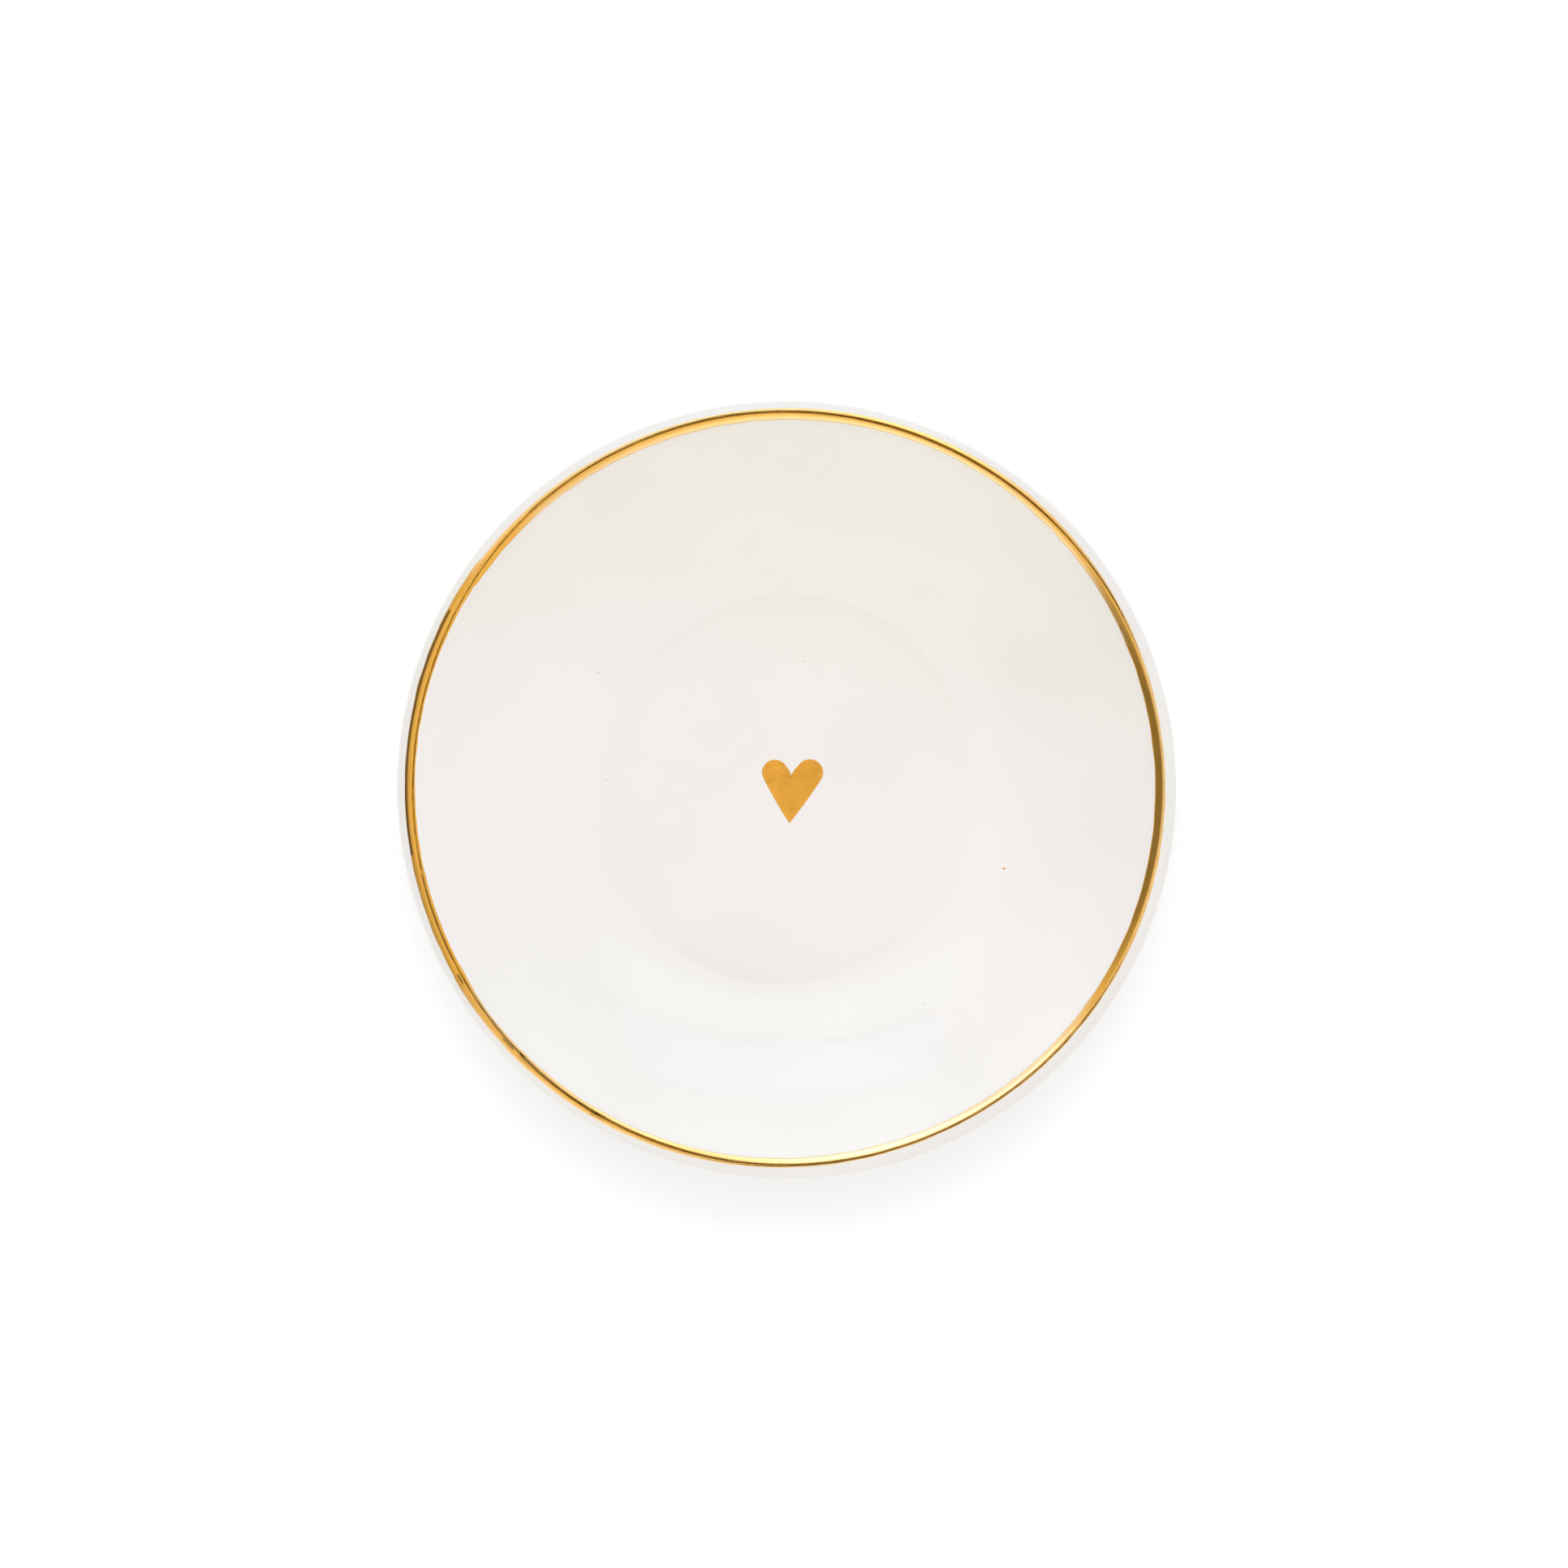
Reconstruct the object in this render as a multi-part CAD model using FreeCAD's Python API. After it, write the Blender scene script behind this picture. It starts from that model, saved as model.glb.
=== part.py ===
"""A round porcelain trinket dish with a gold line on its lip and a small gold heart in its well.

Millimetres, +Z up. The origin is the centre of the foot ring's underside, and the heart's two lobes
point to +Y. The dish is turned about Z, so its section is drawn once in the XZ plane, as arcs that
run into each other without a corner. The clay body lies one glaze thickness inside the glazed
surface, and the gold lies on top of it.
"""

import FreeCAD, Part

import math
import os

# The dish as a whole
RIM_DIAMETER = 110.0
HEIGHT = 20.0
LIP_THICKNESS = 2.8

# Inside: a shallow well, a short bend round its edge, and a wall that steepens up to the lip.
# A slope is in degrees from level.
WELL_RADIUS = 26.5
WELL_EDGE_SLOPE = 2.5
BEND_WIDTH = 2.5
WALL_FOOT_SLOPE = 10.0
WALL_TOP_SLOPE = 45.0

# Underneath: the outer wall, the foot ring and the recess inside it
UNDERSIDE_RADIUS = 30.0
UNDERSIDE_SLOPE = 13.0
FOOT_FILLET = 1.6
FOOT_TIP_WIDTH = 2.6
FOOT_TIP_ROUND = 0.5
FOOT_DRAFT = 5.0
RECESS_HEIGHT = 2.6
RECESS_FILLET = 1.2

# The skins: glaze on the clay down to the foot's bare tip, and gold fired on the glaze
GLAZE_THICKNESS = 0.3
GLAZE_END_HEIGHT = 0.9
GOLD_THICKNESS = 0.1
GOLD_LINE_OUTER_RADIUS = 53.9

# The heart, drawn by hand: its right lobe is a little larger than its left one. A lobe's arc runs
# from its side angle, below its centre's level, over the top to its notch angle, above that level.
LEFT_LOBE_CENTRE = FreeCAD.Vector(-1.68, 2.43, 0)
LEFT_LOBE_RADIUS = 1.84
RIGHT_LOBE_CENTRE = FreeCAD.Vector(3.36, 2.39, 0)
RIGHT_LOBE_RADIUS = 1.94
LOBE_SIDE_ANGLE = 23.0
LOBE_NOTCH_ANGLE = 30.0
HEART_NOTCH = FreeCAD.Vector(0.69, 1.93, 0)
HEART_TIP = FreeCAD.Vector(0.42, -4.92, 0)
SIDE_BULGE = 0.12
HEART_BLANK_RADIUS = 9.0

AXIS = FreeCAD.Vector(0, 0, 1)
ORIGIN = FreeCAD.Vector(0, 0, 0)


def sine(degrees):
    return math.sin(math.radians(degrees))


def cosine(degrees):
    return math.cos(math.radians(degrees))


def point(x, z):
    return FreeCAD.Vector(x, 0, z)


class Bend:
    """An arc of the section. Angles are measured about its centre from straight down towards +X, so
    the bottom of the circle is at 0 and its outermost point at 90. clay_outside says on which side
    of the circle the clay is, so that a layer can be set into the surface by its depth."""

    def __init__(self, centre, radius, start, end, clay_outside):
        self.centre = centre
        self.radius = radius
        self.start = start
        self.end = end
        self.clay_outside = clay_outside

    def at(self, angle, depth=0.0):
        radius = self.radius + (depth if self.clay_outside else -depth)
        return self.centre + point(radius * sine(angle), -radius * cosine(angle))

    def edge(self, depth=0.0):
        middle = (self.start + self.end) / 2
        ends = self.at(self.start, depth), self.at(middle, depth), self.at(self.end, depth)
        return Part.Arc(*ends).toShape()


def line(start, end):
    return Part.LineSegment(start, end).toShape()


def turned(edges):
    """The solid that a closed outline in the XZ plane makes when it is turned about Z."""
    outline = Part.Wire(Part.__sortEdges__(edges))
    return Part.Face(outline).revolve(ORIGIN, AXIS, 360)


def layer_on(bend, thickness):
    """The ring or disc of this thickness that lies on the surface of a bend."""
    edges = [bend.edge(), bend.edge(-thickness)]
    for angle in (bend.start, bend.end):
        edges.append(line(bend.at(angle), bend.at(angle, -thickness)))
    return turned(edges)


def inside_bends(lip):
    """Well, bend and wall, from the axis up to the lip. Each arc ends where the next one starts."""
    top = lip.at(lip.start)
    wall_start = WELL_RADIUS + BEND_WIDTH
    wall_radius = (top.x - wall_start) / (sine(WALL_TOP_SLOPE) - sine(WALL_FOOT_SLOPE))
    wall_centre = top + point(-wall_radius * sine(WALL_TOP_SLOPE), wall_radius * cosine(WALL_TOP_SLOPE))
    wall = Bend(wall_centre, wall_radius, WALL_FOOT_SLOPE, WALL_TOP_SLOPE, True)

    bend_radius = BEND_WIDTH / (sine(WALL_FOOT_SLOPE) - sine(WELL_EDGE_SLOPE))
    towards_bend = point(-sine(WALL_FOOT_SLOPE), cosine(WALL_FOOT_SLOPE))
    bend_centre = wall.at(wall.start) + towards_bend * bend_radius
    bend = Bend(bend_centre, bend_radius, WELL_EDGE_SLOPE, WALL_FOOT_SLOPE, True)

    well_radius = WELL_RADIUS / sine(WELL_EDGE_SLOPE)
    well_centre = point(0, bend.at(bend.start).z + well_radius * cosine(WELL_EDGE_SLOPE))
    well = Bend(well_centre, well_radius, 0, WELL_EDGE_SLOPE, True)
    return [well, bend, wall]


def outside_bends(lip):
    """Outer wall and the fillet above the foot ring, from the lip down."""
    top = lip.at(lip.end)
    radius = (top.x - UNDERSIDE_RADIUS) / (sine(WALL_TOP_SLOPE) - sine(UNDERSIDE_SLOPE))
    centre = top + point(-radius * sine(WALL_TOP_SLOPE), radius * cosine(WALL_TOP_SLOPE))
    wall = Bend(centre, radius, WALL_TOP_SLOPE, UNDERSIDE_SLOPE, False)

    away = point(sine(UNDERSIDE_SLOPE), -cosine(UNDERSIDE_SLOPE))
    fillet_centre = wall.at(wall.end) + away * FOOT_FILLET
    fillet = Bend(fillet_centre, FOOT_FILLET, 180 + UNDERSIDE_SLOPE, 270 - FOOT_DRAFT, True)
    return [wall, fillet]


def recess_bend(foot_inner_radius):
    """The fillet between the foot ring's inner side and the recess's ceiling."""
    centre_height = RECESS_HEIGHT - RECESS_FILLET
    side_top = centre_height + RECESS_FILLET * sine(FOOT_DRAFT)
    side_shift = side_top * math.tan(math.radians(FOOT_DRAFT))
    centre = point(foot_inner_radius - side_shift - RECESS_FILLET * cosine(FOOT_DRAFT), centre_height)
    return Bend(centre, RECESS_FILLET, 90 + FOOT_DRAFT, 180, True)


def foot_side(top, height):
    """The point on a side of the foot ring, which leans in by its draft, at this height."""
    lean = math.tan(math.radians(FOOT_DRAFT))
    return point(top.x - (top.z - height) * lean, height)


def recess_side(top, height):
    lean = math.tan(math.radians(FOOT_DRAFT))
    return point(top.x + (top.z - height) * lean, height)


# The glazed surface, from the well's centre over the lip to the foot ring and back to the axis
LIP_RADIUS = LIP_THICKNESS / 2
LIP_CENTRE = point(RIM_DIAMETER / 2 - LIP_RADIUS, HEIGHT - LIP_RADIUS)
LIP = Bend(LIP_CENTRE, LIP_RADIUS, 180 + WALL_TOP_SLOPE, WALL_TOP_SLOPE, False)
UPPER_BENDS = inside_bends(LIP) + [LIP] + outside_bends(LIP)
FOOT_TOP = UPPER_BENDS[-1].at(UPPER_BENDS[-1].end)
FOOT_OUTER_RADIUS = foot_side(FOOT_TOP, 0).x
FOOT_INNER_RADIUS = FOOT_OUTER_RADIUS - FOOT_TIP_WIDTH
RECESS = recess_bend(FOOT_INNER_RADIUS)
WELL = UPPER_BENDS[0]


def porcelain_body():
    """The fired clay: bowl and foot ring in one piece, inside its glaze."""
    depth = GLAZE_THICKNESS
    edges = [bend.edge(depth) for bend in UPPER_BENDS + [RECESS]]
    start = WELL.at(WELL.start, depth)
    foot_top = UPPER_BENDS[-1].at(UPPER_BENDS[-1].end, depth)
    foot_tip = foot_side(foot_top, 0)
    recess_top = RECESS.at(RECESS.start, depth)
    recess_tip = recess_side(recess_top, 0)
    ceiling_start = RECESS.at(RECESS.end, depth)
    ceiling_end = point(0, ceiling_start.z)
    edges.append(line(foot_top, foot_tip))
    edges.append(line(foot_tip, recess_tip))
    edges.append(line(recess_tip, recess_top))
    edges.append(line(ceiling_start, ceiling_end))
    edges.append(line(ceiling_end, start))
    body = turned(edges)
    tip_edges = [edge for edge in body.Edges if edge.BoundBox.ZMax < FOOT_TIP_ROUND]
    return body.makeFillet(FOOT_TIP_ROUND, tip_edges)


def glaze_coat():
    """The glaze over the inside, the lip and the outside, down to the foot's bare tip."""
    edges = [bend.edge() for bend in UPPER_BENDS]
    edges += [bend.edge(GLAZE_THICKNESS) for bend in UPPER_BENDS]
    clay_foot_top = UPPER_BENDS[-1].at(UPPER_BENDS[-1].end, GLAZE_THICKNESS)
    outer_end = foot_side(FOOT_TOP, GLAZE_END_HEIGHT)
    inner_end = foot_side(clay_foot_top, GLAZE_END_HEIGHT)
    edges.append(line(FOOT_TOP, outer_end))
    edges.append(line(outer_end, inner_end))
    edges.append(line(inner_end, clay_foot_top))
    edges.append(line(WELL.at(WELL.start, GLAZE_THICKNESS), WELL.at(WELL.start)))
    return turned(edges)


def glaze_in_recess():
    """The separate patch of glaze inside the foot ring."""
    depth = GLAZE_THICKNESS
    side_top = RECESS.at(RECESS.start)
    clay_side_top = RECESS.at(RECESS.start, depth)
    side_end = recess_side(side_top, GLAZE_END_HEIGHT)
    clay_side_end = recess_side(clay_side_top, GLAZE_END_HEIGHT)
    ceiling_start = RECESS.at(RECESS.end)
    clay_ceiling_start = RECESS.at(RECESS.end, depth)
    edges = [RECESS.edge(), RECESS.edge(depth)]
    edges.append(line(side_end, side_top))
    edges.append(line(clay_side_end, clay_side_top))
    edges.append(line(side_end, clay_side_end))
    edges.append(line(ceiling_start, point(0, ceiling_start.z)))
    edges.append(line(clay_ceiling_start, point(0, clay_ceiling_start.z)))
    edges.append(line(point(0, ceiling_start.z), point(0, clay_ceiling_start.z)))
    return turned(edges)


def gold_rim_line():
    """The gold line, from the top of the inner wall to just over the crest of the lip."""
    past_crest = math.degrees(math.asin((GOLD_LINE_OUTER_RADIUS - LIP_CENTRE.x) / LIP_RADIUS))
    return layer_on(Bend(LIP_CENTRE, LIP_RADIUS, LIP.start, 180 - past_crest, False), GOLD_THICKNESS)


def lobe(centre, radius, towards_side):
    """The arc of a lobe, and its two ends: at the heart's side and at the notch. towards_side is -1
    for the left lobe and 1 for the right one."""

    def at(degrees):
        return centre + FreeCAD.Vector(towards_side * cosine(degrees), sine(degrees), 0) * radius

    side_end = at(-LOBE_SIDE_ANGLE)
    top = at((180 - LOBE_NOTCH_ANGLE - LOBE_SIDE_ANGLE) / 2)
    notch_end = at(180 - LOBE_NOTCH_ANGLE)
    return Part.Arc(side_end, top, notch_end).toShape(), side_end, notch_end


def heart_side(lobe_end, towards_side):
    """The side of the heart from a lobe to the tip, bowed out a little."""
    along = HEART_TIP - lobe_end
    outward = FreeCAD.Vector(-along.y, along.x, 0).normalize() * towards_side
    middle = (lobe_end + HEART_TIP) / 2 + outward * SIDE_BULGE
    return Part.Arc(lobe_end, middle, HEART_TIP).toShape()


def gold_heart():
    """The heart: its outline cut from a thin round blank that lies on the well's surface."""
    outline = []
    lobes = [(LEFT_LOBE_CENTRE, LEFT_LOBE_RADIUS, -1), (RIGHT_LOBE_CENTRE, RIGHT_LOBE_RADIUS, 1)]
    for centre, radius, towards_side in lobes:
        arc, side_end, notch_end = lobe(centre, radius, towards_side)
        outline += [arc, heart_side(side_end, towards_side), line(notch_end, HEART_NOTCH)]
    face = Part.Face(Part.Wire(Part.__sortEdges__(outline)))
    prism = face.extrude(FreeCAD.Vector(0, 0, HEIGHT))

    blank_angle = math.degrees(math.asin(HEART_BLANK_RADIUS / WELL.radius))
    blank = Bend(WELL.centre, WELL.radius, 0, blank_angle, True)
    return layer_on(blank, GOLD_THICKNESS).common(prism)


os.makedirs("parts", exist_ok=True)
porcelain_body().exportStep("parts/porcelain_body.step")
glaze_coat().exportStep("parts/glaze_coat.step")
glaze_in_recess().exportStep("parts/glaze_in_recess.step")
gold_rim_line().exportStep("parts/gold_rim_line.step")
gold_heart().exportStep("parts/gold_heart.step")
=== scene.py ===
"""The looks of the porcelain trinket dish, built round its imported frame.

Lengths in the shape code are millimetres in the frame's axes, and become metres where a mesh is made.
The glazed surface is a turned section that a hand-made piece's small unevenness then bends: it is a
little out of round, its lip rises and falls, and its glaze is faintly wavy. Every piece goes through
the same bending, so the clay, the glaze and the gold stay in their layers.
"""

import math

import bmesh
import bpy
import numpy as np
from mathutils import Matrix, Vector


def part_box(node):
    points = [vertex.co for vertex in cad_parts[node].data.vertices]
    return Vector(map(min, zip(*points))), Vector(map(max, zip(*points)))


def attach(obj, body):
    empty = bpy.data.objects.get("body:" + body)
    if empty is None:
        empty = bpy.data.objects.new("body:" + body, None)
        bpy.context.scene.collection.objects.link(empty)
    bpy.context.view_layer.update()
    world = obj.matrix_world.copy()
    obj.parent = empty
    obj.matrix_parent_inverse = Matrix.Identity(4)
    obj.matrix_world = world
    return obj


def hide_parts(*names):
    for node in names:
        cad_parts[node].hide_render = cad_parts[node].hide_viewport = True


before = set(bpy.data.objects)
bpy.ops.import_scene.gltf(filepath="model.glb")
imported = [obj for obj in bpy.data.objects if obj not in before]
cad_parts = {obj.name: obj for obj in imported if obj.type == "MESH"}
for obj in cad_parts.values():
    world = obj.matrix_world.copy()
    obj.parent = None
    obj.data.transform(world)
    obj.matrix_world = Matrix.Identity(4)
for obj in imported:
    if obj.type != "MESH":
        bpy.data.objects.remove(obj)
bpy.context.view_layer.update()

MM = 0.001

# Sizes that the frame gives
glaze_low, glaze_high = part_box("glaze_coat")
RIM_RADIUS = (glaze_high.x - glaze_low.x) / 2 / MM
RIM_TOP = glaze_high.z / MM
GLAZE_END_HEIGHT = glaze_low.z / MM

# The section, as the frame has it. A slope is in degrees from level.
LIP_RADIUS = 1.4
WELL_RADIUS = 26.5
WELL_EDGE_SLOPE = 2.5
BEND_WIDTH = 2.5
WALL_FOOT_SLOPE = 10.0
WALL_TOP_SLOPE = 45.0
UNDERSIDE_RADIUS = 30.0
UNDERSIDE_SLOPE = 13.0
FOOT_FILLET = 1.6
FOOT_TIP_WIDTH = 2.6
FOOT_TIP_ROUND = 0.5
FOOT_DRAFT = 5.0
RECESS_HEIGHT = 2.6
RECESS_FILLET = 1.2
GLAZE_THICKNESS = 0.3

# How finely the turned pieces are divided round the axis
TURN_STEPS = 480


# ---------------------------------------------------------------- the section

def sine(degrees):
    return np.sin(np.radians(degrees))


def cosine(degrees):
    return np.cos(np.radians(degrees))


class Bend:
    """An arc of the section. Angles are measured about its centre from straight down towards +X.
    clay_outside says on which side of the circle the clay is."""

    def __init__(self, centre, radius, start, end, clay_outside):
        self.centre = np.array(centre, float)
        self.radius = radius
        self.start = start
        self.end = end
        self.clay_outside = clay_outside

    def at(self, angle, depth=0.0):
        radius = self.radius + (depth if self.clay_outside else -depth)
        return self.centre + radius * np.array([sine(angle), -cosine(angle)])

    def samples(self, count, depth=0.0):
        """Points along the arc with their outward normals, as rows of radius, height, normal."""
        angles = np.linspace(self.start, self.end, count)
        outward = np.stack([sine(angles), -cosine(angles)], 1)
        radius = self.radius + (depth if self.clay_outside else -depth)
        normals = -outward if self.clay_outside else outward
        return np.hstack([self.centre + radius * outward, normals])


def section_bends():
    """Well, bend, wall, lip, outer wall and foot fillet: each arc ends where the next one starts."""
    lip_centre = (RIM_RADIUS - LIP_RADIUS, RIM_TOP - LIP_RADIUS)
    lip = Bend(lip_centre, LIP_RADIUS, 180 + WALL_TOP_SLOPE, WALL_TOP_SLOPE, False)

    top = lip.at(lip.start)
    turn = sine(WALL_TOP_SLOPE) - sine(WALL_FOOT_SLOPE)
    radius = (top[0] - WELL_RADIUS - BEND_WIDTH) / turn
    centre = top + radius * np.array([-sine(WALL_TOP_SLOPE), cosine(WALL_TOP_SLOPE)])
    wall = Bend(centre, radius, WALL_FOOT_SLOPE, WALL_TOP_SLOPE, True)

    radius = BEND_WIDTH / (sine(WALL_FOOT_SLOPE) - sine(WELL_EDGE_SLOPE))
    centre = wall.at(wall.start) + radius * np.array([-sine(WALL_FOOT_SLOPE), cosine(WALL_FOOT_SLOPE)])
    bend = Bend(centre, radius, WELL_EDGE_SLOPE, WALL_FOOT_SLOPE, True)

    radius = WELL_RADIUS / sine(WELL_EDGE_SLOPE)
    centre = (0, bend.at(bend.start)[1] + radius * cosine(WELL_EDGE_SLOPE))
    well = Bend(centre, radius, 0, WELL_EDGE_SLOPE, True)

    top = lip.at(lip.end)
    radius = (top[0] - UNDERSIDE_RADIUS) / (sine(WALL_TOP_SLOPE) - sine(UNDERSIDE_SLOPE))
    centre = top + radius * np.array([-sine(WALL_TOP_SLOPE), cosine(WALL_TOP_SLOPE)])
    outer_wall = Bend(centre, radius, WALL_TOP_SLOPE, UNDERSIDE_SLOPE, False)

    away = np.array([sine(UNDERSIDE_SLOPE), -cosine(UNDERSIDE_SLOPE)])
    centre = outer_wall.at(outer_wall.end) + away * FOOT_FILLET
    fillet = Bend(centre, FOOT_FILLET, 180 + UNDERSIDE_SLOPE, 270 - FOOT_DRAFT, True)
    return [well, bend, wall, lip, outer_wall, fillet]


WELL, WELL_BEND, WALL, LIP, OUTER_WALL, FILLET = section_bends()
LEAN = math.tan(math.radians(FOOT_DRAFT))
FOOT_TOP = FILLET.at(FILLET.end)
FOOT_OUTER_RADIUS = FOOT_TOP[0] - FOOT_TOP[1] * LEAN
FOOT_INNER_RADIUS = FOOT_OUTER_RADIUS - FOOT_TIP_WIDTH


def recess_bend():
    """The fillet between the foot ring's inner side and the recess's ceiling."""
    height = RECESS_HEIGHT - RECESS_FILLET
    side_top = height + RECESS_FILLET * sine(FOOT_DRAFT)
    radius = FOOT_INNER_RADIUS - side_top * LEAN - RECESS_FILLET * cosine(FOOT_DRAFT)
    return Bend((radius, height), RECESS_FILLET, 90 + FOOT_DRAFT, 180, True)


RECESS = recess_bend()


def straight(start, end, count):
    """Points along a straight stretch with the normal on its right-hand side, going from start to
    end: the air is on that side all along the section."""
    start, end = np.array(start, float), np.array(end, float)
    along = (end - start) / np.linalg.norm(end - start)
    normal = np.array([along[1], -along[0]])
    steps = np.linspace(0, 1, count)[:, None]
    points = start + steps * (end - start)
    return np.hstack([points, np.repeat(normal[None], count, 0)])


def joined(*stretches):
    """One run of points from several that share their end points."""
    rows = [stretches[0]]
    rows += [stretch[1:] for stretch in stretches[1:]]
    return np.vstack(rows)


# ---------------------------------------------------------------- the hand-made unevenness

# A list of waves round the rim has, for each, how many times it goes round, its height and the azimuth
# of its crest.
OVAL_WAVES = [(2, 0.10, 160), (3, 0.10, 30)]
LIP_WAVES = [(2, 0.110, 80), (3, 0.070, 20), (5, 0.035, 140)]

# The lip is thicker outside its crest than inside it, most of all on the left, so the crest lies further
# in than on the true turned shape, and so does the wall below it. The foot ring and the outer rim stay.
CREST_INSET = 0.44
CREST_WAVES = [(1, 0.25, 40), (3, 0.12, 0)]
WALL_FOOT_RADIUS = WELL_RADIUS + BEND_WIDTH

# The glaze's faint waviness. It fades out towards the foot, which was ground flat.
GLAZE_WAVE_LENGTHS = (9, 26)
GLAZE_WAVE_HEIGHT = 0.006
GLAZE_WAVE_COUNT = 14
FLAT_FOOT_HEIGHT = 2.0

wave_rng = np.random.default_rng(11)
wave_directions = wave_rng.normal(size=(GLAZE_WAVE_COUNT, 3))
wave_directions /= np.linalg.norm(wave_directions, axis=1)[:, None]
wave_lengths = wave_rng.uniform(*GLAZE_WAVE_LENGTHS, GLAZE_WAVE_COUNT)
wave_vectors = wave_directions * (2 * math.pi / wave_lengths)[:, None]
wave_phases = wave_rng.uniform(0, 2 * math.pi, GLAZE_WAVE_COUNT)


def smooth_step(values, start, end):
    """0 up to start and 1 from end on, with a smooth rise between them."""
    share = np.clip((values - start) / (end - start), 0, 1)
    return share * share * (3 - 2 * share)


def glaze_waves(points):
    """How far the glaze stands proud at these points, faintly wavy over a few centimetres."""
    waves = np.cos(points @ wave_vectors.T + wave_phases).sum(1)
    return GLAZE_WAVE_HEIGHT * waves * np.clip(points[:, 2] / FLAT_FOOT_HEIGHT, 0, 1)


def sum_of_waves(azimuth, waves):
    return sum(height * np.cos(count * (azimuth - np.radians(crest))) for count, height, crest in waves)


def outward_move(azimuth, radius):
    """How far out the hand-made dish has what the true turned shape has at this azimuth and radius."""
    crest_radius = LIP.centre[0]
    near_crest = smooth_step(radius, WALL_FOOT_RADIUS, crest_radius - LIP_RADIUS)
    near_crest *= 1 - smooth_step(radius, crest_radius, RIM_RADIUS)
    oval = (radius / RIM_RADIUS) ** 2 * sum_of_waves(azimuth, OVAL_WAVES)
    crest = sum_of_waves(azimuth, CREST_WAVES) - CREST_INSET
    return oval * (1 - near_crest) + crest * near_crest


def bent(points):
    """Points of the true turned shape, moved to where the hand-made dish has them."""
    azimuth = np.arctan2(points[:, 1], points[:, 0])
    radius = np.hypot(points[:, 0], points[:, 1])
    growth = 1 + outward_move(azimuth, radius) / np.maximum(radius, 1)
    moved = points * np.stack([growth, growth, np.ones_like(growth)], 1)
    rise = (radius / RIM_RADIUS) ** 2 * sum_of_waves(azimuth, LIP_WAVES)
    moved[:, 2] += rise * points[:, 2] / RIM_TOP
    return moved


def unbent(x, y):
    """The plan positions that bending moves to x and y, closed in on step by step."""
    azimuth, wanted = np.arctan2(y, x), np.hypot(x, y)
    radius = wanted
    for _ in range(16):
        radius = wanted - outward_move(azimuth, radius)
    return radius * np.cos(azimuth), radius * np.sin(azimuth)


# ---------------------------------------------------------------- meshes

def new_object(name, points, faces):
    """A smooth-shaded mesh object from points in millimetres."""
    mesh = bpy.data.meshes.new(name)
    mesh.from_pydata((points * MM).tolist(), [], faces)
    mesh.update()
    mesh.polygons.foreach_set("use_smooth", np.ones(len(mesh.polygons), bool))
    obj = bpy.data.objects.new(name, mesh)
    bpy.context.scene.collection.objects.link(obj)
    return obj


def ring_faces(rings, steps, closed_rings):
    """Quads between neighbouring rings of steps points each. closed_rings also joins the last ring
    to the first one."""
    faces = []
    for ring in range(rings if closed_rings else rings - 1):
        here = ring * steps
        there = (ring + 1) % rings * steps
        for step in range(steps):
            after = (step + 1) % steps
            faces.append((here + step, here + after, there + after, there + step))
    return faces


def turned(name, section):
    """A closed solid of revolution. section goes round the solid with the air on its right-hand
    side; where it starts and ends on the axis, those two points become poles."""
    has_poles = section[0, 0] < 1e-6
    if has_poles:
        poles, section = section[[0, -1]], section[1:-1]
    azimuth = np.linspace(0, 2 * math.pi, TURN_STEPS, endpoint=False)
    around = np.stack([np.cos(azimuth), np.sin(azimuth)], 1)
    rings = len(section)
    points = np.empty((rings, TURN_STEPS, 3))
    points[:, :, :2] = section[:, 0, None, None] * around
    points[:, :, 2] = section[:, 1, None]
    normals = np.empty_like(points)
    normals[:, :, :2] = section[:, 2, None, None] * around
    normals[:, :, 2] = section[:, 3, None]
    points, normals = points.reshape(-1, 3), normals.reshape(-1, 3)
    faces = ring_faces(rings, TURN_STEPS, not has_poles)
    if has_poles:
        points = np.vstack([points, [(0, 0, pole[1]) for pole in poles]])
        normals = np.vstack([normals, [(0, 0, pole[3]) for pole in poles]])
        first_pole, last_ring = rings * TURN_STEPS, (rings - 1) * TURN_STEPS
        for step in range(TURN_STEPS):
            after = (step + 1) % TURN_STEPS
            faces.append((first_pole, after, step))
            faces.append((first_pole + 1, last_ring + step, last_ring + after))
    points = points + normals * glaze_waves(points)[:, None]
    return new_object(name, bent(points), faces)


def facing(obj):
    """Turns the object's faces to point outwards."""
    shape = bmesh.new()
    shape.from_mesh(obj.data)
    bmesh.ops.recalc_face_normals(shape, faces=shape.faces)
    shape.to_mesh(obj.data)
    shape.free()
    return obj


# The glazed top side as height and normal against radius, from the axis to the rim
TOP_SIDE = joined(
    WELL.samples(200),
    WELL_BEND.samples(40),
    WALL.samples(300),
    Bend(LIP.centre, LIP_RADIUS, LIP.start, 90, False).samples(400),
)


def on_top(x, y, lift):
    """Points of the finished top side at these plan positions, raised by lift along the normal."""
    x, y = unbent(x, y)
    radius = np.hypot(x, y)
    height, normal_out, normal_up = (np.interp(radius, TOP_SIDE[:, 0], TOP_SIDE[:, i]) for i in (1, 2, 3))
    points = np.stack([x, y, height], 1)
    raise_by = lift + glaze_waves(points)
    safe_radius = np.maximum(radius, 1e-9)
    points[:, 0] += raise_by * normal_out * x / safe_radius
    points[:, 1] += raise_by * normal_out * y / safe_radius
    points[:, 2] += raise_by * normal_up
    return bent(points)


# ---------------------------------------------------------------- materials

def material(name):
    made = bpy.data.materials.new(name)
    made.use_nodes = True
    shader = made.node_tree.nodes["Principled BSDF"]
    return made, made.node_tree, shader


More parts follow.
